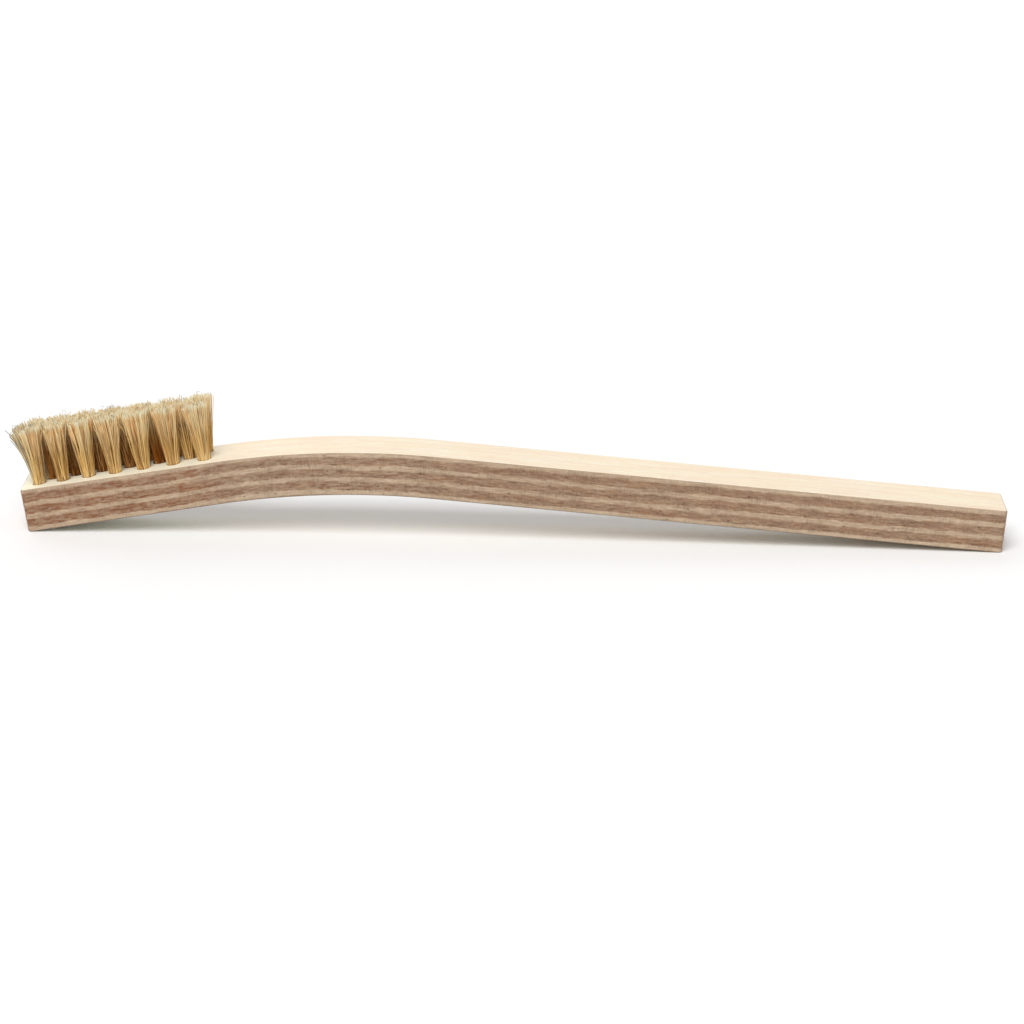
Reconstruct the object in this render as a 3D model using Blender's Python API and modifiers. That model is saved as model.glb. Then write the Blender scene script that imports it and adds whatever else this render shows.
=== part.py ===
"""Scratch brush: horsehair tufts wired into a bent plywood handle.

The brush is built in its board frame and then set down on the floor. The board frame has its origin on the
top face, at the head's free end and in mid-width. +X runs along the head towards the handle, +Y across it to
the far side and +Z out of the top face, so every tuft stands along +Z. The head is straight, the board then
bends down, and the handle is straight again. Lengths are in metres.
"""

import math
import random

import bmesh
import bpy
from mathutils import Matrix, Vector

MM = 0.001

# Board: seven veneers, glued over a former and sawn into strips. The grain of the long plies runs along the
# handle and that of the cross plies runs across it.
BOARD_WIDTH = 12.7 * MM
LONG_PLY = 1.05 * MM
CROSS_PLY = 1.42 * MM
GLUE_LINE = 0.05 * MM
BEND_RADIUS = 180.5 * MM  # of the top face
BEND_ANGLE = math.radians(14.25)
BEND_STEPS = 12
HANDLE_LENGTH = 114.2 * MM
END_CORNER_RADIUS = 0.8 * MM  # of the four upright corners
END_CORNER_STEPS = 5
SANDED_EDGE = 0.3 * MM  # of the edges round the top face and the back
SANDED_EDGE_STEPS = 2
STANDING_FLAT = 0.05 * MM  # depth of the flats rubbed on the two lower arrises that the brush stands on

# Tufts: three staggered rows. The drilling pitch opens a little towards the handle.
OUTER_ROW_TUFTS = 7
FIRST_TUFT_INSET = 3.5 * MM  # from the head's free end
LAST_TUFT_INSET = 1.8 * MM  # from the start of the bend
FIRST_PITCH = 4.9 * MM
LAST_PITCH = 6.3 * MM
ROW_SPACING = 2.65 * MM
HOLE_DIAMETER = 2.8 * MM
HOLE_DEPTH = 5.3 * MM  # of the straight wall
DRILL_POINT_ANGLE = math.radians(118)
HOLE_SIDES = 12

# Each tuft is folded over a flat anchor wire, which is driven down until its ends bite the wood.
TUFT_CLEARANCE = 0.05 * MM  # round the root of a tuft in its hole
ROOT_STANDS = 0.5 * MM  # of the packed root above the top face
ANCHOR_THICKNESS = 0.4 * MM
ANCHOR_HEIGHT = 1.2 * MM
ANCHOR_BITE = 0.35 * MM  # into the wood at each end
ANCHOR_CLEARANCE = 0.05 * MM
ANCHOR_EDGE = 0.08 * MM  # rounding of the rolled wire
FOLD_ROOM = 0.3 * MM  # hair under the wire, above the drill point

# Bristles: each strand stands for a lock of hair.
TRIM_HEIGHT = 11.5 * MM  # of the cut tips above the top face
TRIM_UNEVENNESS = 0.45 * MM
STRAND_RADIUS = 0.19 * MM
STRANDS_PER_RING = (1, 6, 12)
STRAND_SINK = 0.3 * MM  # of each strand into the packed root
STRAND_HEIGHT_SHARES = (0.0, 0.5, 1.0)
FLARE_POWER = 1.25  # above 1 the tuft leaves its hole upright and opens later
SQUARENESS = 0.6  # 0 keeps the opened tuft oval, 1 fills its rectangle
TUFT_GAP = 0.1 * MM  # between the opened tufts
SPLAY_PAST_HEAD_END = 4.4 * MM  # of the end tufts, from their own axis
SPLAY_TOWARDS_HANDLE = 3.3 * MM
SPLAY_SIDEWAYS = 2.0 * MM
TIP_WANDER = 0.06 * MM
SEED = 7

MERGE_DISTANCE = 0.001 * MM
CUTTER_OVERRUN = 1.0 * MM
STRAND_SIDES = 3
UPRIGHT = 0.7  # least upright share of the normal of a face that belongs to a ply's top or underside
SHARP_ANGLE = math.radians(35)

PLY_NAMES = (  # from the top, where long plies and cross plies take turns
    "top_face_veneer",
    "upper_cross_ply",
    "upper_long_ply",
    "core_cross_ply",
    "lower_long_ply",
    "lower_cross_ply",
    "back_face_veneer",
)
PLY_THICKNESSES = [CROSS_PLY if i % 2 else LONG_PLY for i in range(len(PLY_NAMES))]
BOARD_THICKNESS = sum(PLY_THICKNESSES) + GLUE_LINE * (len(PLY_NAMES) - 1)

OUTER_ROW_LENGTH = (OUTER_ROW_TUFTS - 1) * (FIRST_PITCH + LAST_PITCH) / 2
HEAD_LENGTH = FIRST_TUFT_INSET + OUTER_ROW_LENGTH + LAST_TUFT_INSET
HOLE_RADIUS = HOLE_DIAMETER / 2
ROOT_RADIUS = HOLE_RADIUS - TUFT_CLEARANCE
STRAND_CIRCLE = ROOT_RADIUS * math.cos(math.pi / HOLE_SIDES) - STRAND_RADIUS  # of the outer ring
ANCHOR_LENGTH = HOLE_DIAMETER + 2 * ANCHOR_BITE
ANCHOR_DEPTH = HOLE_DEPTH - FOLD_ROOM - ANCHOR_HEIGHT / 2  # of the wire's middle under the top face


def clear_scene():
    for obj in list(bpy.data.objects):
        bpy.data.objects.remove(obj)


def new_collection(name):
    collection = bpy.data.collections.new(name)
    bpy.context.scene.collection.children.link(collection)
    return collection


def new_object(name, data, collection):
    obj = bpy.data.objects.new(name, data)
    collection.objects.link(obj)
    return obj


def mesh_of(bm, name):
    mesh = bpy.data.meshes.new(name)
    bm.to_mesh(mesh)
    bm.free()
    return mesh


def made_real(obj):
    """Gives a mesh object the mesh that its modifiers make, and removes them."""
    graph = bpy.context.evaluated_depsgraph_get()
    mesh = bpy.data.meshes.new_from_object(obj.evaluated_get(graph))
    obj.modifiers.clear()
    obj.data = mesh


def combine(obj, other, operation):
    """Joins or cuts obj with the other object, which is used up."""
    boolean = obj.modifiers.new(operation.lower(), "BOOLEAN")
    boolean.operation = operation
    boolean.object = other
    made_real(obj)
    bpy.data.objects.remove(other)


def material(name, colour, roughness, metallic=0.0):
    made = bpy.data.materials.new(name)
    made.use_nodes = True
    shader = made.node_tree.nodes["Principled BSDF"]
    shader.inputs["Base Color"].default_value = (*colour, 1.0)
    shader.inputs["Roughness"].default_value = roughness
    shader.inputs["Metallic"].default_value = metallic
    return made


def shade(obj, finish):
    obj.data.materials.clear()
    obj.data.materials.append(finish)
    obj.data.shade_smooth()
    obj.data.set_sharp_from_angle(angle=SHARP_ANGLE)


def board_line(depth):
    """The line at this depth under the top face, from the head's free end to the end of the handle."""
    centre = Vector((HEAD_LENGTH, 0, -BEND_RADIUS))
    line = [Vector((0, 0, -depth))]
    for step in range(BEND_STEPS + 1):
        angle = BEND_ANGLE * step / BEND_STEPS
        line.append(centre + (BEND_RADIUS - depth) * Vector((math.sin(angle), 0, math.cos(angle))))
    line.append(line[-1] + HANDLE_LENGTH * handle_direction())
    return line


def handle_direction():
    return Vector((math.cos(BEND_ANGLE), 0, -math.sin(BEND_ANGLE)))


def ply(name, depth, thickness, collection):
    """A bent veneer whose middle lies at this depth, with its upright corners rounded."""
    bm = bmesh.new()
    half_width = Vector((0, BOARD_WIDTH / 2, 0))
    rows = [(bm.verts.new(p - half_width), bm.verts.new(p + half_width)) for p in board_line(depth)]
    for (near, far), (next_near, next_far) in zip(rows, rows[1:]):
        bm.faces.new((near, next_near, next_far, far))
    obj = new_object(name, mesh_of(bm, name), collection)
    solidify = obj.modifiers.new("veneer thickness", "SOLIDIFY")
    solidify.thickness = thickness
    solidify.offset = 0
    solidify.use_even_offset = True
    made_real(obj)
    bevel_edges(obj, upright_corner, END_CORNER_RADIUS, END_CORNER_STEPS)
    return obj


def bevel_edges(obj, wanted, radius, steps):
    bm = bmesh.new()
    bm.from_mesh(obj.data)
    edges = [edge for edge in bm.edges if wanted(edge)]
    bmesh.ops.bevel(
        bm, geom=edges, offset=radius, offset_type="OFFSET", segments=steps, profile=0.5, affect="EDGES"
    )
    bm.to_mesh(obj.data)
    bm.free()


def upright_corner(edge):
    """Whether an edge lies where a side of the board meets one of its two ends."""
    one, other = (face.normal for face in edge.link_faces)
    return max(abs(one.z), abs(other.z)) < UPRIGHT and abs(one.dot(other)) < 1 - UPRIGHT


def rim_of_face(up):
    """A test for the edges round the top of a board, for up = 1, or round its back, for up = -1."""

    def on_rim(edge):
        return sum(face.normal.z * up > UPRIGHT for face in edge.link_faces) == 1

    return on_rim


def turned(profile, name):
    """A turned mesh from (radius, height) points that run down its outer side from axis to axis."""
    bm = bmesh.new()
    points = [bm.verts.new((radius, 0, height)) for radius, height in profile]
    for start, end in zip(points, points[1:]):
        bm.edges.new((start, end))
    obj = new_object(name, mesh_of(bm, name), bpy.context.scene.collection)
    screw = obj.modifiers.new("turn", "SCREW")
    screw.steps = screw.render_steps = HOLE_SIDES
    screw.use_merge_vertices = True
    screw.merge_threshold = MERGE_DISTANCE
    made_real(obj)
    mesh = obj.data
    bpy.data.objects.remove(obj)
    return mesh


def box_mesh(size, name):
    bm = bmesh.new()
    bmesh.ops.create_cube(bm, size=1.0, matrix=Matrix.Diagonal((*size, 1.0)))
    return mesh_of(bm, name)


def repeated(mesh, places, name):
    """One mesh holding a copy of a mesh at each place."""
    bm = bmesh.new()
    for place in places:
        first_new = len(bm.verts)
        bm.from_mesh(mesh)
        bm.verts.ensure_lookup_table()
        bmesh.ops.translate(bm, verts=bm.verts[first_new:], vec=place)
    return mesh_of(bm, name)


def drill_point_height(radius):
    return radius / math.tan(DRILL_POINT_ANGLE / 2)


def drilled_hole():
    """The cutter for one blind hole, with the point that a twist drill leaves."""
    return turned(
        (
            (0, CUTTER_OVERRUN),
            (HOLE_RADIUS, CUTTER_OVERRUN),
            (HOLE_RADIUS, -HOLE_DEPTH),
            (0, -HOLE_DEPTH - drill_point_height(HOLE_RADIUS)),
        ),
        "drilled hole",
    )


def anchor_space(length):
    """The cutter for a space that holds an anchor wire with its clearance."""
    size = (ANCHOR_THICKNESS + 2 * ANCHOR_CLEARANCE, length, ANCHOR_HEIGHT + 2 * ANCHOR_CLEARANCE)
    return box_mesh(size, "anchor space")


def outer_row_places():
    """Distances of an outer row's holes from the head's end, at a pitch that grows evenly."""
    gaps = OUTER_ROW_TUFTS - 1
    places = [FIRST_TUFT_INSET]
    for gap in range(gaps):
        places.append(places[-1] + FIRST_PITCH + (LAST_PITCH - FIRST_PITCH) * gap / (gaps - 1))
    return places


def tuft_places():
    """(name, x, y) of each tuft. The middle row stands in the gaps of the outer two."""
    outer = outer_row_places()
    middle = [(left + right) / 2 for left, right in zip(outer, outer[1:])]
    rows = (("front", outer, -ROW_SPACING), ("middle", middle, 0.0), ("rear", outer, ROW_SPACING))
    return [(f"{row}_{i}", x, y) for row, places, y in rows for i, x in enumerate(places, 1)]


def tuft_reach(x, y):
    """How far a tuft's tips may open from its axis: towards the head's end, the handle, the front and the rear."""
    in_row = [other_x for _, other_x, other_y in tuft_places() if other_y == y]
    keep = TUFT_GAP / 2 + STRAND_RADIUS + TIP_WANDER
    left = [x - other_x for other_x in in_row if other_x < x]
    right = [other_x - x for other_x in in_row if other_x > x]
    to_row = ROW_SPACING / 2 - keep
    return (
        min(left) / 2 - keep if left else SPLAY_PAST_HEAD_END,
        min(right) / 2 - keep if right else SPLAY_TOWARDS_HANDLE,
        SPLAY_SIDEWAYS if y < 0 else to_row,
        SPLAY_SIDEWAYS if y > 0 else to_row,
    )


def strand_line(across, angle, reach, chance):
    """Points of one strand, from its sunk end to its tip. across is 0 on the tuft's axis and 1 on its rim."""
    back, forth, front, rear = reach
    root = Vector((math.cos(angle), math.sin(angle), 0)) * across * STRAND_CIRCLE
    square = max(abs(math.cos(angle)), abs(math.sin(angle))) ** -SQUARENESS
    tip = Vector(
        (
            math.cos(angle) * (forth if math.cos(angle) > 0 else back),
            math.sin(angle) * (rear if math.sin(angle) > 0 else front),
            0,
        )
    ) * (across * square)
    tip += Vector((chance.uniform(-TIP_WANDER, TIP_WANDER), chance.uniform(-TIP_WANDER, TIP_WANDER), 0))
    height = TRIM_HEIGHT + chance.uniform(-TRIM_UNEVENNESS, TRIM_UNEVENNESS)
    start = ROOT_STANDS - STRAND_SINK
    line = []
    for share in STRAND_HEIGHT_SHARES:
        point = root.lerp(tip, share**FLARE_POWER)
        point.z = start + (height - start) * share
        line.append(point)
    return line


def strand_section(collection):
    """The outline that is swept along each strand."""
    curve = bpy.data.curves.new("strand section", "CURVE")
    curve.dimensions = "2D"
    curve.fill_mode = "NONE"
    spline = curve.splines.new("POLY")
    spline.points.add(STRAND_SIDES - 1)
    for i, point in enumerate(spline.points):
        angle = 2 * math.pi * i / STRAND_SIDES
        point.co = (STRAND_RADIUS * math.cos(angle), STRAND_RADIUS * math.sin(angle), 0, 1)
    spline.use_cyclic_u = True
    guide = new_object("strand_section", curve, collection)
    guide.hide_render = True
    guide.display_type = "WIRE"
    return guide


def strands(reach, chance, section):
    """A tuft's strands as one mesh of separate closed tubes."""
    curve = bpy.data.curves.new("strands", "CURVE")
    curve.dimensions = "3D"
    curve.bevel_mode = "OBJECT"
    curve.bevel_object = section
    curve.use_fill_caps = True
    rings = len(STRANDS_PER_RING) - 1
    for ring, count in enumerate(STRANDS_PER_RING):
        for i in range(count):
            angle = 2 * math.pi * (i + ring / 2) / count
            line = strand_line(ring / rings, angle, reach, chance)
            spline = curve.splines.new("POLY")
            spline.points.add(len(line) - 1)
            for point, place in zip(spline.points, line):
                point.co = (*place, 1)
    obj = new_object("strands", curve, bpy.context.scene.collection)
    graph = bpy.context.evaluated_depsgraph_get()
    mesh = bpy.data.meshes.new_from_object(obj.evaluated_get(graph))
    bpy.data.objects.remove(obj)
    bm = bmesh.new()
    bm.from_mesh(mesh)
    bmesh.ops.remove_doubles(bm, verts=bm.verts, dist=MERGE_DISTANCE)
    bmesh.ops.recalc_face_normals(bm, faces=bm.faces)
    return mesh_of(bm, "strands")


def tuft_root():
    """The packed root of a tuft, which fills its hole down to the drill point."""
    lower_end = HOLE_DEPTH - TUFT_CLEARANCE
    return turned(
        (
            (0, ROOT_STANDS),
            (ROOT_RADIUS, ROOT_STANDS),
            (ROOT_RADIUS, -lower_end),
            (0, -lower_end - drill_point_height(ROOT_RADIUS)),
        ),
        "tuft root",
    )


def tuft(name, x, y, chance, section, collection):
    """A packed root with its strands, slit for the anchor wire that it is folded over."""
    obj = new_object("tuft_" + name, tuft_root(), collection)
    hair = new_object("hair", strands(tuft_reach(x, y), chance, section), collection)
    combine(obj, hair, "UNION")
    slit = new_object("slit", anchor_space(ANCHOR_LENGTH), collection)
    slit.location.z = -ANCHOR_DEPTH
    combine(obj, slit, "DIFFERENCE")
    obj.location = (x, y, 0)
    return obj


def anchor(name, x, y, collection):
    """A length of flat wire on edge across a hole, its ends in the wood."""
    size = (ANCHOR_THICKNESS, ANCHOR_LENGTH, ANCHOR_HEIGHT)
    obj = new_object("anchor_" + name, box_mesh(size, "anchor"), collection)
    bevel_edges(obj, runs_along_wire, ANCHOR_EDGE, 1)
    obj.location = (x, y, -ANCHOR_DEPTH)
    return obj


def runs_along_wire(edge):
    start, end = edge.verts
    return abs(end.co.y - start.co.y) > ANCHOR_LENGTH / 2


def board(collection):
    """The seven plies, drilled for the tufts and nicked by the anchor wires."""
    places = [(x, y, 0.0) for _, x, y in tuft_places()]
    wire_places = [(x, y, -ANCHOR_DEPTH) for _, x, y in tuft_places()]
    holes = repeated(drilled_hole(), places, "drilled holes")
    nicks = repeated(anchor_space(ANCHOR_LENGTH + 2 * ANCHOR_CLEARANCE), wire_places, "anchor nicks")
    plies = []
    depth = 0.0
    for name, thickness in zip(PLY_NAMES, PLY_THICKNESSES):
        plies.append(ply(name, depth + thickness / 2, thickness, collection))
        depth += thickness + GLUE_LINE
    bevel_edges(plies[0], rim_of_face(1), SANDED_EDGE, SANDED_EDGE_STEPS)
    bevel_edges(plies[-1], rim_of_face(-1), SANDED_EDGE, SANDED_EDGE_STEPS)
    rub_standing_flats(plies[-1])
    for obj in plies:
        combine(obj, new_object("holes", holes, collection), "DIFFERENCE")
        combine(obj, new_object("nicks", nicks, collection), "DIFFERENCE")
    return plies


def resting_tilt():
    """The turn about Y that brings the two lower ends of the board to one height."""
    back = board_line(BOARD_THICKNESS)
    corner = Vector((SANDED_EDGE, 0, SANDED_EDGE))  # from a sharp lower corner to the centre of its rounding
    head_end = back[0] + corner
    normal = Vector((math.sin(BEND_ANGLE), 0, math.cos(BEND_ANGLE)))
    handle_end = back[-1] + SANDED_EDGE * (normal - handle_direction())
    return math.atan2(handle_end.z - head_end.z, handle_end.x - head_end.x)


def rub_standing_flats(back):
    down = Matrix.Rotation(-resting_tilt(), 3, "Y") @ Vector((0, 0, -1))
    bm = bmesh.new()
    bm.from_mesh(back.data)
    lowest = max((vert.co for vert in bm.verts), key=down.dot)
    bmesh.ops.bisect_plane(
        bm,
        geom=bm.verts[:] + bm.edges[:] + bm.faces[:],
        dist=MERGE_DISTANCE / 1000,
        plane_co=lowest - STANDING_FLAT * down,
        plane_no=down,
        clear_outer=True,
    )
    bmesh.ops.holes_fill(bm, edges=[edge for edge in bm.edges if edge.is_boundary], sides=0)
    bmesh.ops.recalc_face_normals(bm, faces=bm.faces)
    bm.to_mesh(back.data)
    bm.free()


def set_down(brush, pieces):
    """Tilts the brush onto its two ends, and centres its box over the origin, with its foot at z = 0."""
    brush.rotation_euler.y = resting_tilt()
    for piece in pieces:
        piece.parent = brush
    bpy.context.view_layer.update()
    points = [piece.matrix_world @ vertex.co for piece in pieces for vertex in piece.data.vertices]
    low = Vector(min(point[axis] for point in points) for axis in range(3))
    high = Vector(max(point[axis] for point in points) for axis in range(3))
    brush.location = (-(low.x + high.x) / 2, 0, -low.z)


def main():
    clear_scene()
    collection = new_collection("horsehair_brush")
    section = strand_section(new_collection("guides"))
    long_grain = material("birch long grain", (0.71, 0.55, 0.37), 0.62)
    end_grain = material("birch end grain", (0.42, 0.27, 0.17), 0.75)
    horsehair = material("horsehair", (0.56, 0.38, 0.18), 0.5)
    steel_wire = material("steel anchor wire", (0.55, 0.56, 0.57), 0.4, 1.0)

    plies = board(collection)
    for i, obj in enumerate(plies):
        shade(obj, end_grain if i % 2 else long_grain)

    chance = random.Random(SEED)
    pieces = list(plies)
    for name, x, y in tuft_places():
        hair = tuft(name, x, y, chance, section, collection)
        shade(hair, horsehair)
        wire = anchor(name, x, y, collection)
        shade(wire, steel_wire)
        pieces += [hair, wire]

    brush = new_object("brush", None, collection)
    set_down(brush, pieces)


main()
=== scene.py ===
"""Scratch brush: the looks of its bent plywood board and of its folded horsehair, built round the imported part.

The board is first made flat and then bent. Along it, a place is measured from the head's free end, across it
from mid-width, and out of its top face. Lengths are in metres, and the finishes measure their patterns in
millimetres.
"""

import math
import random

import bmesh
import bpy
from mathutils import Matrix, Vector


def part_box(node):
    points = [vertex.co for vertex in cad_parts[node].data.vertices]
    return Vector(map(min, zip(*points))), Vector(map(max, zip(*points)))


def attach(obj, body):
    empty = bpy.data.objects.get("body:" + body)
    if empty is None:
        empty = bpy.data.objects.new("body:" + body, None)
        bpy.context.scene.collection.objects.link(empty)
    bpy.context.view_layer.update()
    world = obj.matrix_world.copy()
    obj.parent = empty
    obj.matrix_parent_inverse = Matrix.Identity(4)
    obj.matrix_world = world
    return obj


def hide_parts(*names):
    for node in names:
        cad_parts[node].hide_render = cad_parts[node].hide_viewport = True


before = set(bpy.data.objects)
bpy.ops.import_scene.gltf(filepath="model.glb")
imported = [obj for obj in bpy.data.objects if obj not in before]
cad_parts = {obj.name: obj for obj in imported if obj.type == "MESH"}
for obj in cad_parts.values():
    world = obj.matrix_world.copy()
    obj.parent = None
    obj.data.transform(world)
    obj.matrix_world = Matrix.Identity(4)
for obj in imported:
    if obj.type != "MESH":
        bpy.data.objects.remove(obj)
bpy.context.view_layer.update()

MM = 0.001

# Board, as in the part
BOARD_WIDTH = 12.7 * MM
LONG_PLY = 1.05 * MM
CROSS_PLY = 1.42 * MM
GLUE_LINE = 0.05 * MM
BEND_RADIUS = 180.5 * MM  # of the top face
BEND_ANGLE = math.radians(14.25)
HEAD_LENGTH = 38.9 * MM
HANDLE_LENGTH = 114.2 * MM
BEND_LENGTH = BEND_RADIUS * BEND_ANGLE
BOARD_LENGTH = HEAD_LENGTH + BEND_LENGTH + HANDLE_LENGTH
END_CORNER_RADIUS = 0.8 * MM
SANDED_EDGE = 0.3 * MM
BEND_CUTS = 48
CORNER_STEPS = 8
EDGE_STEPS = 4
FLAT_FACE = 0.9  # least upright share of the normal of a veneer's broad face
STEEP_FACE = 0.5  # greatest upright share of the normal of its sides
BOARD_SHARP_ANGLE = math.radians(35)
ON_PLANE = 1e-9  # nearer than this, a point lies on the plane that cuts the standing flats
PLY_NAMES = (
    "top_face_veneer",
    "upper_cross_ply",
    "upper_long_ply",
    "core_cross_ply",
    "lower_long_ply",
    "lower_cross_ply",
    "back_face_veneer",
)
PLY_PAIR = LONG_PLY + CROSS_PLY + 2 * GLUE_LINE
BOARD_THICKNESS = 4 * LONG_PLY + 3 * CROSS_PLY + 6 * GLUE_LINE

# Finish of the sawn plies, in mm. A soft border has where it starts and where it is complete, along the board
# from its head's end or down from its top face.
BAND_SWAYS = (  # of the borders between plies: the size of a wave along, across and through, and its height
    ((12.0, 12.0, 3.0), 0.24),
    ((4.0, 4.0, 0.5), 0.3),
    ((1.0, 1.0, 0.6), 0.16),
)
BAND_EDGE = 0.2  # half the width of the border between two plies
SMEARED_UP = 0.16  # by this much the fibres of a cross ply lie over the long ply above it
SMEARED_DOWN = 0.02
BEND_RISE = 0.38  # of the bands in the bend, where the press squeezed the upper plies
SQUEEZED = ((28.0, 48.0), (70.0, 56.0))
HANDLE_DROP = 0.2  # of the lower bands in the handle
IN_HANDLE = (78.0, 105.0)
LOW_DOWN = (3.8, 6.0)
IN_HEAD = (46.0, 30.0)
IN_BEND = ((36.0, 48.0), (86.0, 72.0))
HANDLE_END = (125.0, 165.0)
BEFORE_HANDLE = (96.0, 76.0)
TOP_EDGE = (0.9, 0.4)
TOP_ARRIS = (0.45, 0.1)
BACK_EDGE = (7.7, 8.0)
# where painted shade darkens the back veneer's lower arris
BACK_ARRIS_SHADE = ((BOARD_THICKNESS - SANDED_EDGE) / MM, BOARD_THICKNESS / MM)
PIT_CELL = (3.0, 3.0, 1.8)  # holds one pit
PIT = (0.14, 0.05)  # as shares of its cell, from its rim to its floor
# On the head the sanded top face is painted paler: painted light that makes up for the tufts' shade
HEAD_PAINTED_LIGHT = (43.0, 36.0)  # of the sanded top face
FIGURE_SPREAD = 0.2  # of a noise round its middle, from a figure's darkest to its palest at contrast 1

# Drilling and wiring, as in the part
FIRST_TUFT_INSET = 3.5 * MM
HOLE_RADIUS = 1.4 * MM
HOLE_DEPTH = 5.3 * MM
DRILL_POINT_ANGLE = math.radians(118)
DRILL_POINT = HOLE_RADIUS / math.tan(DRILL_POINT_ANGLE / 2)  # its depth
HOLE_SIDES = 32
CUTTER_OVERRUN = 1.0 * MM
ROW_SPACING = 2.65 * MM
ANCHOR_DEPTH = 4.4 * MM  # of the wire's middle
ANCHOR_THICKNESS = 0.4 * MM
ANCHOR_HEIGHT = 1.2 * MM
ANCHOR_LENGTH = 3.5 * MM
ANCHOR_CLEARANCE = 0.05 * MM

# Hair
FOLDED_HAIRS = 140  # in each tuft; each shows two legs
HAIR_RADIUS = 0.095 * MM
TIP_TAPER = 0.82
HAIR_SIDES = 3
HAIR_SHARP_ANGLE = math.radians(70)
PACKED_RADIUS = 1.27 * MM
MOUTH = 0.2 * MM  # up to here the tuft is as narrow as its hole
TRIM_HEIGHT = 11.5 * MM
LOCKS = 22
LOCK_TURN = 3 - math.sqrt(5)  # of half a turn, from each lock to the next, so that they fill the tuft evenly
LOCK_PULL = 0.3
LOCK_LEAN = 0.17 * MM
LOCK_HEIGHT = 0.1 * MM
TIP_SCATTER = 0.1 * MM
TIP_HEIGHT_SCATTER = 0.14 * MM
BOW = 0.16 * MM
WAVE = 0.1 * MM
FLARE_POWER = 1.25
SPLAY_CURVE = 0.6  # more, for the hairs that curve out past the head's end
SQUARENESS = 0.6
TUFT_GAP = 0.1 * MM
SPLAY_PAST_HEAD_END = 4.6 * MM
SPLAY_TOWARDS_HANDLE = 2.7 * MM
SPLAY_SIDEWAYS = 2.1 * MM
SPLAY_DROP = 1.4 * MM  # of the tips that lean furthest past the head's end
FRONT_NARROWNESS = 0.87  # the front tufts stay apart
REAR_WIDENESS = 1.12  # the tips of the others mingle
LONG_SHARE = 0.05  # of the hairs that stand above the trim
LONG_BY = (0.15, 0.5)  # mm
SHORT_SHARE = 0.12
SHORT_BY = (0.4, 1.8)  # mm
FLYAWAY_SHARE = 0.04
FLYAWAY_LEAN = 0.7 * MM
CURLED_SHARE = 0.012  # of the hairs that curl over above the trim
CURL_RADIUS = (0.3, 0.55)  # mm
CURL_SWEEP = (0.7, 1.25)  # of half a turn
CURL_RISE = 1.2  # of its radius
CURL_STEPS = 7
CURL_THINNESS = 0.55
CURL_THINS_FROM = TRIM_HEIGHT - MM
KINDS = {  # of the tufts of each row: golden at 0, chestnut at -1, grey at 1
    "front": (-0.06, -0.22, 0.0, 0.03, -0.16, 0.03, 0.05),
    # the middle row's chestnut is partly its hair's own brown and partly painted shade of the gaps behind the
    # front tufts
    "middle": (-1.0, -0.95, -1.0, -0.9, -1.05, -0.5),
    "rear": (-0.2,) * 7,
}
STREAK_SHARE = 0.3  # of the hairs that differ from their tuft
STREAKS = (-0.5, 0.25, 0.5)  # by how much; below 0 is browner, above it greyer
END_GREY = 0.95  # share of grey among the hairs that lean furthest past the head's end
END_GREY_POWER = 1.2  # above 1 it falls off faster among those that lean less
GREY_AT_ROOT = 0.4
GREY_WITH_HEIGHT = 1.2
LOCK_SHADE = 0.55  # share of a hair's shade that its whole lock has
OWN_SHADE = 0.45
SHADE_LIFT = 0.13
SHADE_SCATTER = 0.08
LEG_SHARES = (1.0, 0.8, 0.6, 0.4, 0.2, 0.0)  # of the height, where a leg has its points, from the tip down
STRAIGHT_POINTS = 2 * len(LEG_SHARES) + 3  # of a hair with no curl: its two legs and its fold
SEED = 11

# Camera, solved from the board's outline in the photograph
CAMERA_DISTANCE = 0.727
CAMERA_ELEVATION = math.radians(17.49)
CAMERA_YAW = math.radians(-0.47)
CAMERA_ROLL = math.radians(1.10)
CAMERA_LENS = 126.8  # mm
CAMERA_SENSOR = 36.0  # mm wide
CAMERA_SHIFT = (-0.001, 0.0203)
CAMERA_SIGHT = 30.0

# Studio
FLOOR_REACH = 6.0
SKY_LEVEL = 0.42
SUNS = (  # each with its strength, and in degrees its spread, its tilt from straight down and its turn
    ("soft_key", 0.64, 40, 38, -16),
    ("soft_fill", 0.2, 60, -58, 20),
)


def colour(code):
    """Linear colour of an sRGB hex code."""
    channels = [int(code[i : i + 2], 16) / 255 for i in (1, 3, 5)]
    linear = [c / 12.92 if c <= 0.04045 else ((c + 0.055) / 1.055) ** 2.4 for c in channels]
    return (*linear, 1.0)


def add(tree, kind, sockets=None, **settings):
    """Adds a node with its settings, and sets its sockets to values or links them to outputs."""
    node = tree.nodes.new("ShaderNode" + kind)
    for name, value in settings.items():
        setattr(node, name, value)
    for name, value in (sockets or {}).items():
        if isinstance(value, bpy.types.NodeSocket):
            tree.links.new(value, node.inputs[name])
        else:
            node.inputs[name].default_value = value
    return node


def new_finish(name, roughness, metallic=0.0):
    """A material with its node tree and its shader."""
    finish = bpy.data.materials.new(name)
    finish.use_nodes = True
    shader = finish.node_tree.nodes["Principled BSDF"]
    shader.inputs["Roughness"].default_value = roughness
    shader.inputs["Metallic"].default_value = metallic
    return finish, finish.node_tree, shader


def figure(tree, place, size, detail=2.0, contrast=1.0, strength=1.0):
    """A wood figure from 0 to its strength. Its streaks or specks have this size in mm along, across and through
    the board."""
    scaled = add(tree, "VectorMath", {0: place, 1: size}, operation="DIVIDE").outputs[0]
    noise = add(tree, "TexNoise", {"Vector": scaled, "Scale": 1.0, "Detail": detail, "Roughness": 0.55})
    spread = FIGURE_SPREAD / contrast
    limits = {"From Min": 0.5 - spread, "From Max": 0.5 + spread, "To Max": strength}
    return add(tree, "MapRange", {"Value": noise.outputs["Fac"], **limits}).outputs["Result"]


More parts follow.
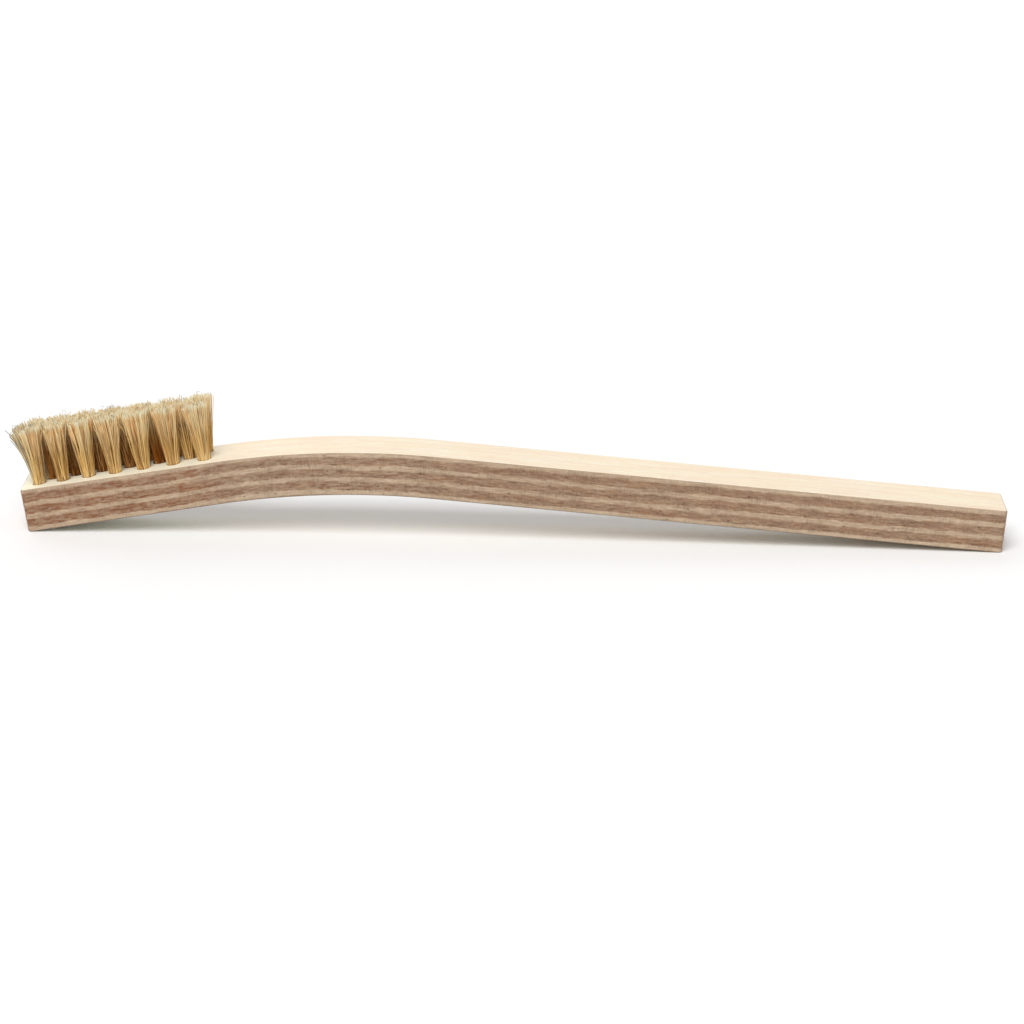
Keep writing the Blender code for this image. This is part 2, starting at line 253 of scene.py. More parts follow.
def grained(tree, place, dark, pale, streaks, stains):
    """Wood colour: streaks of this size from dark to pale, and over them stains, each with its colour, size,
    contrast and strength."""
    share = figure(tree, place, streaks, detail=3.0, contrast=1.8)
    body = add(tree, "MixRGB", {"Fac": share, "Color1": colour(dark), "Color2": colour(pale)}).outputs["Color"]
    return stained(tree, place, body, stains)


def stained(tree, place, body, stains, where=None):
    """The body's colour with stains over it, either all over or only where a share lets them show."""
    for code, size, contrast, strength in stains:
        share = figure(tree, place, size, contrast=contrast, strength=strength)
        if where is not None:
            share = add(tree, "Math", {0: where, 1: share}, operation="MULTIPLY").outputs[0]
        body = add(tree, "MixRGB", {"Fac": share, "Color1": body, "Color2": colour(code)}).outputs["Color"]
    return body


def zoned(tree, body, value, border, strength, code):
    """The body's colour, and over it another, which comes in softly as the value crosses the border."""
    start, end = border
    limits = {"Value": value, "From Min": start, "From Max": end, "To Max": strength}
    share = add(tree, "MapRange", limits, interpolation_type="SMOOTHSTEP").outputs["Result"]
    return add(tree, "MixRGB", {"Fac": share, "Color1": body, "Color2": colour(code)}).outputs["Color"]


def within(tree, one, other):
    """1 inside two soft borders, and 0 outside them. Each is given with the value that crosses it."""
    shares = []
    for value, (start, end) in (one, other):
        limits = {"Value": value, "From Min": start, "From Max": end}
        shares.append(add(tree, "MapRange", limits, interpolation_type="SMOOTHSTEP").outputs["Result"])
    return add(tree, "Math", {0: shares[0], 1: shares[1]}, operation="MULTIPLY").outputs[0]


def ply_share(tree, place):
    """1 in the cross plies and 0 in the long ones, with the soft, slightly wavy border that a saw leaves. The
    dark fibres of a cross ply smear a little over its neighbours."""
    along, _, depth = add(tree, "SeparateXYZ", {0: place}).outputs
    squeezed = within(tree, (along, SQUEEZED[0]), (along, SQUEEZED[1]))
    depth = add(tree, "Math", {0: squeezed, 1: BEND_RISE, 2: depth}, operation="MULTIPLY_ADD").outputs[0]
    low_in_handle = within(tree, (along, IN_HANDLE), (depth, LOW_DOWN))
    depth = add(tree, "Math", {0: low_in_handle, 1: -HANDLE_DROP, 2: depth}, operation="MULTIPLY_ADD").outputs[0]
    for size, sway in BAND_SWAYS:
        wave = add(tree, "Math", {0: figure(tree, place, size), 1: -0.5}, operation="ADD").outputs[0]
        depth = add(tree, "Math", {0: wave, 1: sway, 2: depth}, operation="MULTIPLY_ADD").outputs[0]
    depth = add(tree, "Math", {0: depth, 1: (BOARD_THICKNESS - GLUE_LINE) / MM}, operation="MINIMUM").outputs[0]
    in_pair = add(tree, "Math", {0: depth, 1: PLY_PAIR / MM}, operation="MODULO").outputs[0]
    first = (LONG_PLY + GLUE_LINE / 2) / MM - SMEARED_UP
    last = (PLY_PAIR - GLUE_LINE / 2) / MM + SMEARED_DOWN
    above = (first - BAND_EDGE, first + BAND_EDGE)
    below = (last + BAND_EDGE, last - BAND_EDGE)
    return within(tree, (in_pair, above), (in_pair, below))


def sawn_plywood(name, swapped):
    """Birch plywood as the saw leaves it: long plies and cross plies show as pale and brown bands, whose fuzzy
    sawn fibres have no gloss. On the ends, swapped, the long plies are the brown ones."""
    finish, tree, shader = new_finish(name, 0.78)
    place = add(tree, "Attribute", attribute_name="board").outputs["Vector"]
    along, _, depth = add(tree, "SeparateXYZ", {0: place}).outputs
    # Cut along the fibres: pale tan with fine streaks
    pale = grained(
        tree,
        place,
        "#A98B6D",
        "#D8BC9D",
        (8.0, 8.0, 0.42),
        (
            ("#E6CDAE", (1.8, 1.8, 0.26), 1.2, 0.35),
            ("#A3866D", (10.0, 10.0, 1.4), 1.0, 0.3),
        ),
    )
    # Cut across the fibres: darker, because light sinks into the open pores, with torn ticks
    brown = grained(
        tree,
        place,
        "#714F37",
        "#AF8866",
        (5.0, 5.0, 0.46),
        (
            ("#B0754F", (9.0, 9.0, 1.8), 1.2, 0.4),
            ("#978271", (13.0, 13.0, 2.4), 1.2, 0.25),
            ("#65442F", (1.4, 1.4, 0.32), 1.2, 0.4),
            ("#D6B592", (0.5, 0.5, 0.3), 1.1, 0.26),
        ),
    )
    # The head has redder cross plies and paler long ones
    brown = zoned(tree, brown, along, IN_HEAD, 0.6, "#904A08")
    pale = zoned(tree, pale, along, IN_HEAD, 0.26, "#F4D2AE")
    # In the bend and towards the handle's end the long plies are a little paler too
    in_bend = within(tree, (along, IN_BEND[0]), (along, IN_BEND[1]))
    pale = zoned(tree, pale, in_bend, (0.0, 1.0), 0.3, "#F2D8B8")
    pale = zoned(tree, pale, along, HANDLE_END, 0.28, "#F6DEC0")
    long_plies, cross_plies = (brown, pale) if swapped else (pale, brown)
    bands = {"Fac": ply_share(tree, place), "Color1": long_plies, "Color2": cross_plies}
    bands = add(tree, "MixRGB", bands).outputs["Color"]
    # Fibres that the saw smeared over both
    bands = stained(
        tree,
        place,
        bands,
        (
            ("#7A5A44", (1.6, 1.6, 0.34), 1.6, 0.28),
            ("#E4CBAB", (1.4, 1.4, 0.34), 1.6, 0.25),
        ),
    )
    # Torn fibres in the head and where the bend has opened them
    limits = {"Value": along, "From Min": BEFORE_HANDLE[0], "From Max": BEFORE_HANDLE[1]}
    torn = add(tree, "MapRange", limits, interpolation_type="SMOOTHSTEP").outputs["Result"]
    bands = stained(
        tree,
        place,
        bands,
        (
            ("#7A5140", (1.2, 1.2, 0.4), 1.5, 0.2),
            ("#E0CBAE", (1.4, 1.4, 0.34), 1.5, 0.18),
        ),
        torn,
    )
    # Ticks across the plies, in patches
    ticks = figure(tree, place, (0.26, 0.26, 1.1))
    bands = stained(tree, place, bands, (("#7A5A44", (6.0, 6.0, 2.0), 1.5, 0.55),), ticks)
    # Small pits, painted as dark spots of shade where their hollows would be
    cells = add(tree, "VectorMath", {0: place, 1: PIT_CELL}, operation="DIVIDE").outputs[0]
    away = add(tree, "TexVoronoi", {"Vector": cells, "Scale": 1.0}, feature="F1").outputs["Distance"]
    bands = zoned(tree, bands, away, PIT, 0.55, "#4B3021")
    # Under the top face the veneer's edge is paler, and towards its sanded arris it turns darker brown
    bands = zoned(tree, bands, depth, TOP_EDGE, 0.14, "#F0DCC0")
    bands = zoned(tree, bands, depth, TOP_ARRIS, 0.34, "#8F7259")
    # The back veneer's edge is a little paler, and its lower arris darkened with painted shade
    bands = zoned(tree, bands, depth, BACK_EDGE, 0.18, "#E2CDB0")
    bands = zoned(tree, bands, depth, BACK_ARRIS_SHADE, 0.5, "#77695A")
    tree.links.new(bands, shader.inputs["Base Color"])
    saw_marks = figure(tree, place, (0.35, 0.35, 1.6), detail=3.0)
    bump = add(tree, "Bump", {"Height": saw_marks, "Distance": 0.02 * MM, "Strength": 1.0})
    tree.links.new(bump.outputs["Normal"], shader.inputs["Normal"])
    return finish


def sanded_veneer():
    """Rotary-cut birch veneer, sanded: creamy and close-grained, with faint streaks along the board, a little
    pink and yellow in patches, and the dull sheen of bare fine wood."""
    finish, tree, shader = new_finish("sanded_birch_veneer", 0.6)
    pore = (2.4, 0.22, 0.22)
    place = add(tree, "Attribute", attribute_name="board").outputs["Vector"]
    body = grained(
        tree,
        place,
        "#F4E5CC",
        "#FCF4E3",
        (34.0, 0.7, 0.7),
        (
            ("#F5D6BC", (11.0, 2.6, 2.6), 1.6, 0.6),
            ("#F8F0CC", (22.0, 2.4, 2.4), 1.4, 0.5),
            ("#DDC2A0", pore, 1.0, 0.25),
            ("#EBD3B4", (1.4, 0.7, 0.7), 1.5, 0.32),
        ),
    )
    along = add(tree, "SeparateXYZ", {0: place}).outputs["X"]
    # On the head the face is paler: painted light against the shade of the tufts
    body = zoned(tree, body, along, HEAD_PAINTED_LIGHT, 0.85, "#FFFBE4")
    tree.links.new(body, shader.inputs["Base Color"])
    pores = figure(tree, place, pore, contrast=0.7)
    bump = add(tree, "Bump", {"Height": pores, "Distance": 0.008 * MM, "Strength": 1.0})
    tree.links.new(bump.outputs["Normal"], shader.inputs["Normal"])
    return finish


def horsehair():
    """Undyed horse tail hair, boiled straight and cut: golden or chestnut at the root, bleached straw at the tip,
    here and there a grey one, each a smooth strand with a soft gloss. The paler straw just above the face is
    painted light, the straw upper part is partly painted light, the pale cut end is a painted highlight, and the
    middle row's chestnut is partly painted shade."""
    finish, tree, shader = new_finish("horsehair_undyed", 0.45)
    shader.inputs["Specular IOR Level"].default_value = 0.25  # the loose strands scatter most of the gloss
    hair = add(tree, "Attribute", attribute_name="hair").outputs["Vector"]
    shade, height, kind = add(tree, "SeparateXYZ", {0: hair}).outputs
    tones = {}
    for tone, dark, pale in (
        ("golden", "#9C551A", "#FFD988"),
        ("chestnut", "#301A06", "#9A5A18"),
        ("straw", "#F8B464", "#FFEEB8"),
        # colours of the painted highlight on the cut tips
        ("cut", "#F4DFAA", "#FFFCE6"),
        ("grey", "#4A4434", "#DED8BE"),
    ):
        mixed = add(tree, "MixRGB", {"Fac": shade, "Color1": colour(dark), "Color2": colour(pale)})
        tones[tone] = mixed.outputs["Color"]
    # Over golden hair come a straw root and a straw upper part, then the brown of chestnut hair, the pale cut
    # end, and the grey of grey hair. The straw root is painted light from the board's face, the straw upper part
    # is bleaching and partly painted light, and the pale cut end is a painted highlight
    body = tones["golden"]
    for tone, value, start, end, strength, manner in (
        # painted light thrown up from the board's face onto the hair just above it
        ("straw", height, 0.18, 0.0, 0.3, "SMOOTHSTEP"),
        # bleached straw, and on the upper part partly painted light
        ("straw", height, 0.36, 0.86, 1.0, "SMOOTHSTEP"),
        # brown of chestnut hair, in the middle row partly painted shade
        ("chestnut", kind, 0.0, -1.0, 1.0, "LINEAR"),
        # painted highlight on the cut tips, where they catch the light from above
        ("cut", height, 0.88, 1.04, 1.0, "SMOOTHSTEP"),
        ("grey", kind, 0.0, 1.0, 1.0, "LINEAR"),
    ):
        limits = {"Value": value, "From Min": start, "From Max": end, "To Max": strength}
        share = add(tree, "MapRange", limits, interpolation_type=manner).outputs["Result"]
        body = add(tree, "MixRGB", {"Fac": share, "Color1": body, "Color2": tones[tone]}).outputs["Color"]
    tree.links.new(body, shader.inputs["Base Color"])
    return finish


def drawn_wire():
    """Mild steel wire, drawn and then rolled flat: a dull grey gloss, with fine lines along it from the die."""
    finish, tree, shader = new_finish("rolled_steel_wire", 0.38, metallic=1.0)
    place = add(tree, "TexCoord").outputs["Object"]  # in metres, with the wire along Y
    lines = figure(tree, place, (0.03 * MM, 3.0 * MM, 0.03 * MM), detail=3.0)
    body = add(tree, "MixRGB", {"Fac": lines, "Color1": colour("#A9ABAD"), "Color2": colour("#C6C8CA")})
    tree.links.new(body.outputs["Color"], shader.inputs["Base Color"])
    bump = add(tree, "Bump", {"Height": lines, "Distance": 0.002 * MM, "Strength": 1.0})
    tree.links.new(bump.outputs["Normal"], shader.inputs["Normal"])
    return finish


def centre(node):
    low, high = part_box(node)
    return (low + high) / 2


def board_in_row():
    """Turns places on the head, which are along, across and out of the top face, to the row frame."""
    first, last = centre("anchor_front_1"), centre("anchor_front_7")
    along = (last - first).normalized()
    across = Vector((0, 1, 0))
    out = along.cross(across)
    origin = Vector((first.x, 0, first.z)) - along * FIRST_TUFT_INSET + out * ANCHOR_DEPTH
    turn = Matrix((along, across, out)).transposed()
    return Matrix.Translation(origin) @ turn.to_4x4()


def bent(place):
    """Where a point of the flat board lies once the board is bent."""
    turn = min(max((place.x - HEAD_LENGTH) / BEND_RADIUS, 0.0), BEND_ANGLE)
    past = max(place.x - HEAD_LENGTH - BEND_LENGTH, 0.0)
    radius = BEND_RADIUS + place.z
    return Vector(
        (
            min(place.x, HEAD_LENGTH) + radius * math.sin(turn) + past * math.cos(BEND_ANGLE),
            place.y,
            radius * math.cos(turn) - BEND_RADIUS - past * math.sin(BEND_ANGLE),
        )
    )


def new_object(name, mesh):
    obj = bpy.data.objects.new(name, mesh)
    bpy.context.scene.collection.objects.link(obj)
    return obj


def mesh_of(bm, name):
    mesh = bpy.data.meshes.new(name)
    bm.to_mesh(mesh)
    bm.free()
    return mesh


def made_real(obj):
    """Gives an object the mesh that its modifiers make, and removes them."""
    graph = bpy.context.evaluated_depsgraph_get()
    mesh = bpy.data.meshes.new_from_object(obj.evaluated_get(graph))
    obj.modifiers.clear()
    obj.data = mesh


def slab(length, width, top, bottom):
    """A plain plate of the flat board between two heights out of its top face."""
    bm = bmesh.new()
    size = Matrix.Diagonal((length, width, top - bottom, 1.0))
    bmesh.ops.create_cube(bm, size=1.0, matrix=Matrix.Translation((length / 2, 0, (top + bottom) / 2)) @ size)
    return bm


def rounded(bm, wanted, radius, steps):
    edges = [edge for edge in bm.edges if wanted(edge)]
    bmesh.ops.bevel(
        bm, geom=edges, offset=radius, offset_type="OFFSET", segments=steps, profile=0.5, affect="EDGES"
    )


def upright(edge):
    return abs(edge.verts[0].co.z - edge.verts[1].co.z) > LONG_PLY / 2


def rim_at(height):
    def on_rim(edge):
        level = all(abs(vert.co.z - height) < GLUE_LINE / 10 for vert in edge.verts)
        return level and any(abs(face.normal.z) < STEEP_FACE for face in edge.link_faces)

    return on_rim


def drilled_holes(places):
    """Cutters for the blind holes, with the point that a twist drill leaves."""
    bm = bmesh.new()
    for place in places:
        upper, lower = [], []
        for ring, height in ((upper, CUTTER_OVERRUN), (lower, -HOLE_DEPTH)):
            for i in range(HOLE_SIDES):
                turn = 2 * math.pi * i / HOLE_SIDES
                at = (place.x + HOLE_RADIUS * math.cos(turn), place.y + HOLE_RADIUS * math.sin(turn), height)
                ring.append(bm.verts.new(at))
        point = bm.verts.new((place.x, place.y, -HOLE_DEPTH - DRILL_POINT))
        bm.faces.new(upper)
        for i in range(HOLE_SIDES):
            j = (i + 1) % HOLE_SIDES
            bm.faces.new((upper[j], upper[i], lower[i], lower[j]))
            bm.faces.new((lower[j], lower[i], point))
    return new_object("drilled_holes", mesh_of(bm, "drilled holes"))


def wire_nicks(places):
    """Cutters for the nicks that the ends of the anchor wires press into the wood."""
    bm = bmesh.new()
    room = 2 * ANCHOR_CLEARANCE
    size = Matrix.Diagonal((ANCHOR_THICKNESS + room, ANCHOR_LENGTH + room, ANCHOR_HEIGHT + room, 1.0))
    for place in places:
        at = Matrix.Translation((place.x, place.y, -ANCHOR_DEPTH))
        bmesh.ops.create_cube(bm, size=1.0, matrix=at @ size)
    return new_object("wire_nicks", mesh_of(bm, "wire nicks"))


def cut(obj, cutter):
    boolean = obj.modifiers.new("cut", "BOOLEAN")
    boolean.operation = "DIFFERENCE"
    boolean.object = cutter
    made_real(obj)


def rub_standing_flats(bm):
    """Takes off what the arrises of the bent back veneer would reach under the floor."""
    every = bm.verts[:] + bm.edges[:] + bm.faces[:]
    bmesh.ops.bisect_plane(
        bm, geom=every, dist=ON_PLANE, plane_co=(0, 0, 0), plane_no=(0, 0, -1), clear_outer=True
    )
    flats = bmesh.ops.holes_fill(bm, edges=[edge for edge in bm.edges if edge.is_boundary], sides=0)["faces"]
    for face in flats:
        face.smooth = True


def finish_number(normal):
    """Which of a veneer's finishes a face has: 0 on the broad faces, 1 on the sawn sides and 2 on the ends."""
    if abs(normal.z) > FLAT_FACE:
        return 0
    return 1 if abs(normal.y) > abs(normal.x) else 2


def ply(name, top, bottom, cutters, to_row, finishes):
    """One veneer, drilled flat and then bent, with the finish of each face by how the face was cut."""
    bm = slab(BOARD_LENGTH, BOARD_WIDTH, top, bottom)
    rounded(bm, upright, END_CORNER_RADIUS, CORNER_STEPS)
    if name == PLY_NAMES[0]:
        rounded(bm, rim_at(top), SANDED_EDGE, EDGE_STEPS)
    if name == PLY_NAMES[-1]:
        rounded(bm, rim_at(bottom), SANDED_EDGE, EDGE_STEPS)
    obj = new_object(name + "_birch", mesh_of(bm, name))
    for cutter in cutters:
        cut(obj, cutter)
    bm = bmesh.new()
    bm.from_mesh(obj.data)
    for i in range(BEND_CUTS + 1):
        at = HEAD_LENGTH + BEND_LENGTH * i / BEND_CUTS
        every = bm.verts[:] + bm.edges[:] + bm.faces[:]
        bmesh.ops.bisect_plane(bm, geom=every, dist=GLUE_LINE / 100, plane_co=(at, 0, 0), plane_no=(1, 0, 0))
    board = bm.verts.layers.float_vector.new("board")
    bm.normal_update()
    for face in bm.faces:
        face.smooth = True
        face.material_index = finish_number(face.normal)
    for vert in bm.verts:
        vert[board] = Vector((vert.co.x, vert.co.y, -vert.co.z)) / MM
        vert.co = to_row @ bent(vert.co)
    if name == PLY_NAMES[-1]:
        rub_standing_flats(bm)
    bm.to_mesh(obj.data)
    bm.free()
    for finish in finishes:
        obj.data.materials.append(finish)
    obj.data.set_sharp_from_angle(angle=BOARD_SHARP_ANGLE)
    weighted = obj.modifiers.new("flat faces stay flat", "WEIGHTED_NORMAL")
    weighted.keep_sharp = True
    made_real(obj)
    return obj


def tuft_reach(place, row, position):
    """How far a tuft's tips open from its axis: towards the head's end, the handle, the front and the rear."""
    at = row.index(place)
    keep = TUFT_GAP / 2 + HAIR_RADIUS
    share = (FRONT_NARROWNESS if position == "front" else REAR_WIDENESS) / 2
    back = (place.x - row[at - 1].x) * share - keep if at > 0 else SPLAY_PAST_HEAD_END
    forth = (row[at + 1].x - place.x) * share - keep if at + 1 < len(row) else SPLAY_TOWARDS_HANDLE
    to_row = ROW_SPACING / 2 - keep
    front = SPLAY_SIDEWAYS if position == "front" else to_row
    rear = SPLAY_SIDEWAYS if position == "rear" else to_row
    return back, forth, front, rear


def opened(spot, reach):
    """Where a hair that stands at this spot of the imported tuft, with 1 at its rim, has its tip."""
    back, forth, front, rear = reach
    out = spot.length
    if out == 0:
        return Vector((0, 0))
    cos, sin = spot.x / out, spot.y / out
    square = max(abs(cos), abs(sin)) ** -SQUARENESS
    return Vector((cos * (forth if cos > 0 else back), sin * (rear if sin > 0 else front))) * out * square


def past_head_end(tip):
    """How far past the head's end a tip leans, as a share of the furthest."""
    return min(max(-tip.x / SPLAY_PAST_HEAD_END, 0), 1)


class Lock:
    """Hairs that cling together."""

    def __init__(self, number, chance):
        out, turn = math.sqrt((number + 0.5) / LOCKS), number * math.pi * LOCK_TURN
        self.middle = Vector((out * math.cos(turn), out * math.sin(turn)))
        self.lean = Vector((chance.gauss(0, LOCK_LEAN), chance.gauss(0, LOCK_LEAN)))
        self.height = chance.gauss(0, LOCK_HEIGHT)
        self.shade = chance.random()


def leg(spot, locks, reach, chance):
    """Points of one leg of a hair, from its tip down to the mouth of the hole, and its lock."""
    lock = min(locks, key=lambda each: (each.middle - spot).length)
    root = spot * PACKED_RADIUS
    tip = opened(spot.lerp(lock.middle, LOCK_PULL), reach) + lock.lean
    tip += Vector((chance.gauss(0, TIP_SCATTER), chance.gauss(0, TIP_SCATTER)))
    if chance.random() < FLYAWAY_SHARE:
        tip += Vector((chance.gauss(0, FLYAWAY_LEAN), chance.gauss(0, FLYAWAY_LEAN)))
    height = TRIM_HEIGHT + lock.height + chance.gauss(0, TIP_HEIGHT_SCATTER)
    height -= SPLAY_DROP * past_head_end(tip) ** 2
    draw = chance.random()
    if draw < LONG_SHARE:
        height += chance.uniform(*LONG_BY) * MM
    elif draw < LONG_SHARE + SHORT_SHARE:
        height -= chance.uniform(*SHORT_BY) * MM
    bow = Vector((chance.gauss(0, BOW), chance.gauss(0, BOW)))
    wave = Vector((chance.gauss(0, WAVE), chance.gauss(0, WAVE)))
    points = []
    flare = FLARE_POWER + SPLAY_CURVE * past_head_end(tip)
    for share in LEG_SHARES:
        point = root.lerp(tip, share**flare)
        point += bow * math.sin(math.pi * share) + wave * math.sin(2 * math.pi * share)
        points.append(Vector((*point, MOUTH + (height - MOUTH) * share)))
    if chance.random() < CURLED_SHARE:
        points = curl(points[0], chance) + points
    return points, lock


def curl(top, chance):
    """Points of a hair's end that curls over, from its tip down to the top of the straight part."""
    radius, turn = chance.uniform(*CURL_RADIUS) * MM, chance.uniform(0, 2 * math.pi)
    sideways = Vector((math.cos(turn), math.sin(turn), 0)) * radius
    sweep = chance.uniform(*CURL_SWEEP) * math.pi
    points = []
    for i in range(CURL_STEPS, 0, -1):
        bend = sweep * i / CURL_STEPS
        risen = Vector((0, 0, CURL_RISE * radius * math.sin(bend)))
        points.append(top + sideways * (1 - math.cos(bend)) + risen)
    return points


def folded_hair(locks, reach, chance):
    """Points of a hair from one tip, round the under side of the anchor wire, to its other tip, and its shade."""
    legs = []
    for side in (-1, 1):
        out, turn = math.sqrt(chance.random()), math.pi * (chance.random() - 0.5)
        spot = Vector((side * out * math.cos(turn), out * math.sin(turn)))
        legs.append(leg(spot, locks, reach, chance))
    (one, lock), (other, _) = legs
    beside = ANCHOR_THICKNESS / 2 + ANCHOR_CLEARANCE + HAIR_RADIUS
    wire_top = -ANCHOR_DEPTH + ANCHOR_HEIGHT / 2
    down = [
        Vector((side * max(abs(points[-1].x), beside), points[-1].y, wire_top))
        for side, points in ((-1, one), (1, other))
    ]
    across = (down[0].y + down[1].y) / 2
    under_wire = ANCHOR_DEPTH + ANCHOR_HEIGHT / 2 + HAIR_RADIUS
    room = HOLE_DEPTH - under_wire + (HOLE_RADIUS - abs(across)) * DRILL_POINT / HOLE_RADIUS - HAIR_RADIUS
    fold = Vector((0, across, -under_wire - chance.random() * room))
    shade = LOCK_SHADE * lock.shade + OWN_SHADE * chance.random() + chance.gauss(SHADE_LIFT, SHADE_SCATTER)
    return [*one, down[0], fold, down[1], *reversed(other)], min(max(shade, 0), 1)


def kind_at(height, own, grey, curled):
    """How brown or grey a hair is at this height. Brown hairs are bleached at the tip; the middle row's brown,
    darkest at the root, is partly painted shade.
    """
    if grey:
        return min(GREY_AT_ROOT + GREY_WITH_HEIGHT * height, 1.0)
    if curled and height > 1:
        return 1.0
    return own * (1 - min(height, 1.0) ** 2) if own < 0 else own


def tuft(name, place, reach, end_grey, kind, number, to_row, finish):
    """One tuft of folded hairs, each a thin tapered tube. Its hair is golden at kind 0 and chestnut at -1, and
    end_grey is the share of grey among the hairs that lean furthest past the head's end."""
    chance = random.Random(SEED + number)
    locks = [Lock(i, chance) for i in range(LOCKS)]
    verts, faces, hairs = [], [], []
    for _ in range(FOLDED_HAIRS):
        line, shade = folded_hair(locks, reach, chance)
        furthest = min(line, key=lambda point: point.x)
        grey = chance.random() < end_grey * past_head_end(furthest) ** END_GREY_POWER
        own = kind + chance.choice(STREAKS) if chance.random() < STREAK_SHARE else kind
        curled = max(point.z for point in line) > line[0].z and len(line) > STRAIGHT_POINTS
        roll = chance.uniform(0, 2 * math.pi)
        first = len(verts)
        for i, point in enumerate(line):
            before, after = line[max(i - 1, 0)], line[min(i + 1, len(line) - 1)]
            ahead = (after - before).normalized()
            side = (Vector((0, 1, 0)) - ahead * ahead.y).normalized()
            normal = ahead.cross(side)
            height = max(point.z / TRIM_HEIGHT, 0.0)
            radius = HAIR_RADIUS * (1 - (1 - TIP_TAPER) * min(height, 1.0))
            if curled and point.z > CURL_THINS_FROM:
                radius *= CURL_THINNESS
            for k in range(HAIR_SIDES):
                turn = roll + 2 * math.pi * k / HAIR_SIDES
                corner = point + radius * (math.cos(turn) * side + math.sin(turn) * normal)
                verts.append(to_row @ (Vector((place.x, place.y, 0)) + corner))
                hairs.append((shade, height, kind_at(height, own, grey and point.x < 0, curled)))
        for i in range(len(line) - 1):
            for k in range(HAIR_SIDES):
                a, b = first + i * HAIR_SIDES + k, first + i * HAIR_SIDES + (k + 1) % HAIR_SIDES
                faces.append((a, b, b + HAIR_SIDES, a + HAIR_SIDES))
        faces.append(tuple(reversed(range(first, first + HAIR_SIDES))))
        faces.append(tuple(range(len(verts) - HAIR_SIDES, len(verts))))
    mesh = bpy.data.meshes.new(name)
    mesh.from_pydata(verts, [], faces)
    values = mesh.attributes.new("hair", "FLOAT_VECTOR", "POINT")
    for item, value in zip(values.data, hairs):
        item.vector = value
    mesh.materials.append(finish)
    mesh.shade_smooth()
    mesh.set_sharp_from_angle(angle=HAIR_SHARP_ANGLE)
    return new_object(name + "_hair", mesh)


def on_root(piece, node):
    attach(piece, "root")
    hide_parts(node)


def build_board(to_row, places):
    """The seven veneers. Each takes in half of the glue line on each side of it, so that no gap shows."""
    finishes = (sanded_veneer(), sawn_plywood("sawn_plywood_side", False), sawn_plywood("sawn_plywood_end", True))
    cutters = (drilled_holes(places), wire_nicks(places))
    top = 0.0
    for i, name in enumerate(PLY_NAMES):
        glue = (GLUE_LINE / 2) * (1 if i in (0, len(PLY_NAMES) - 1) else 2)
        bottom = top - (CROSS_PLY if i % 2 else LONG_PLY) - glue
        drilled = cutters if -top < HOLE_DEPTH + DRILL_POINT else ()
        piece = ply(name, top, bottom, drilled, to_row, finishes)
        on_root(piece, name)
        top = bottom
    for cutter in cutters:
        bpy.data.objects.remove(cutter)


def build_tufts(to_row, rows):
    """The tufts, and the wire finish of the part's own anchors."""
    finish, wire = horsehair(), drawn_wire()
    number = 0
    for position, row in rows.items():
        for i, place in enumerate(row):
            name = f"{position}_{i + 1}"
            end_grey = END_GREY if i == 0 else 0.0
            reach = tuft_reach(place, row, position)
            piece = tuft("tuft_" + name, place, reach, end_grey, KINDS[position][i], number, to_row, finish)
            on_root(piece, "tuft_" + name)
            number += 1
            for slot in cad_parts["anchor_" + name].material_slots:
                slot.material = wire


def tuft_rows(to_row):
    """Places of the tufts on the flat board, read from the part's anchor wires."""
    to_board = to_row.inverted()
    rows = {}
    for position, count in (("front", 7), ("middle", 6), ("rear", 7)):
        centres = [to_board @ centre(f"anchor_{position}_{i}") for i in range(1, count + 1)]
        rows[position] = [Vector((place.x, place.y)) for place in centres]
    return rows


def build_floor():
    """A pale floor. The camera sees it white where nothing shades it."""
    bm = bmesh.new()
    bmesh.ops.create_grid(bm, x_segments=1, y_segments=1, size=FLOOR_REACH)
    floor = new_object("floor", mesh_of(bm, "floor"))
    finish, tree, shader = new_finish("matt_white_paper", 1.0)
    shader.inputs["Specular IOR Level"].default_value = 0.0
    seen = add(tree, "LightPath").outputs["Is Camera Ray"]
    body = add(tree, "MixRGB", {"Fac": seen, "Color1": colour("#CFCFCF"), "Color2": colour("#FFFFFF")})
    tree.links.new(body.outputs["Color"], shader.inputs["Base Color"])
    floor.data.materials.append(finish)


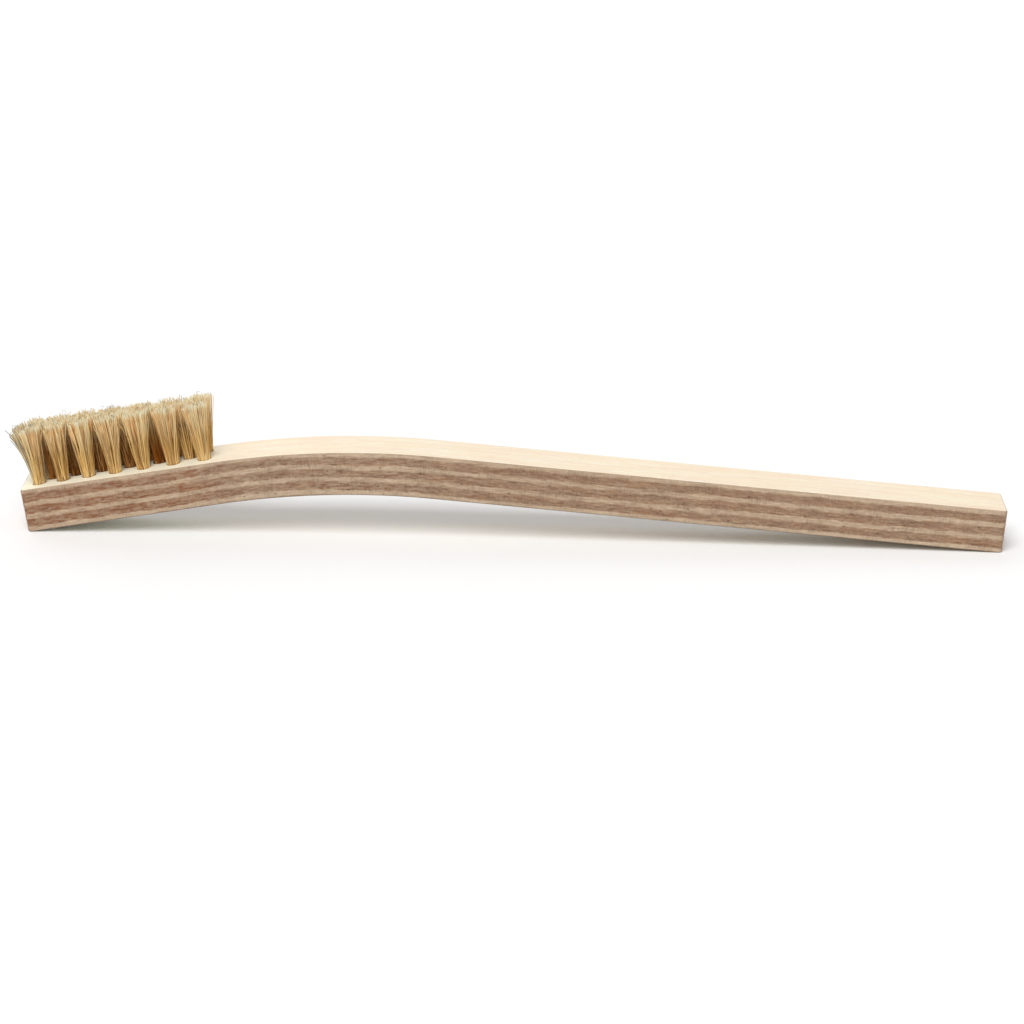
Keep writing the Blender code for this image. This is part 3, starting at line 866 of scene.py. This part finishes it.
def light_studio():
    """A white room: even light from all round, a wide soft light high in front, a little to the left, and a weak
    one behind."""
    world = bpy.data.worlds.new("studio")
    world.use_nodes = True
    tree = world.node_tree
    paths = add(tree, "LightPath").outputs
    seen = add(tree, "Math", {0: paths["Is Camera Ray"], 1: paths["Is Glossy Ray"]}, operation="MAXIMUM")
    seen = add(tree, "Math", {0: seen.outputs[0], 1: paths["Is Transmission Ray"]}, operation="MAXIMUM")
    level = add(tree, "MapRange", {"Value": seen.outputs[0], "To Min": SKY_LEVEL, "To Max": 1.0})
    tree.links.new(level.outputs["Result"], tree.nodes["Background"].inputs["Strength"])
    tree.nodes["Background"].inputs["Color"].default_value = (1, 1, 1, 1)
    bpy.context.scene.world = world
    for name, level, spread, tilt, turn in SUNS:
        sun = bpy.data.lights.new(name, "SUN")
        sun.energy = level * math.pi
        sun.angle = math.radians(spread)
        new_object(name, sun).rotation_euler = (math.radians(tilt), 0, math.radians(turn))


def place_camera(to_row):
    """The photograph's camera, aimed at the foot of the point midway between the board's two top ends."""
    ends = [to_row @ bent(Vector((along, 0, 0))) for along in (0.0, BOARD_LENGTH)]
    aim = Vector(((ends[0].x + ends[1].x) / 2, 0, 0))
    level = math.cos(CAMERA_ELEVATION)
    back = Vector((-math.sin(CAMERA_YAW) * level, -math.cos(CAMERA_YAW) * level, math.sin(CAMERA_ELEVATION)))
    right = (-back).cross(Vector((0, 0, 1))).normalized()
    up = back.cross(right)
    rolled = Matrix.Rotation(CAMERA_ROLL, 3, back)
    camera = bpy.data.cameras.new("camera")
    camera.lens = CAMERA_LENS
    camera.sensor_width = CAMERA_SENSOR
    camera.shift_x, camera.shift_y = CAMERA_SHIFT
    camera.clip_end = CAMERA_SIGHT
    obj = new_object("camera", camera)
    turn = rolled @ Matrix((right, up, back)).transposed()
    obj.matrix_world = Matrix.Translation(aim + back * CAMERA_DISTANCE) @ turn.to_4x4()
    bpy.context.scene.camera = obj


def main():
    to_row = board_in_row()
    rows = tuft_rows(to_row)
    place_camera(to_row)
    light_studio()
    build_floor()
    build_board(to_row, [place for row in rows.values() for place in row])
    build_tufts(to_row, rows)
    bpy.context.scene.view_settings.view_transform = "Standard"


main()
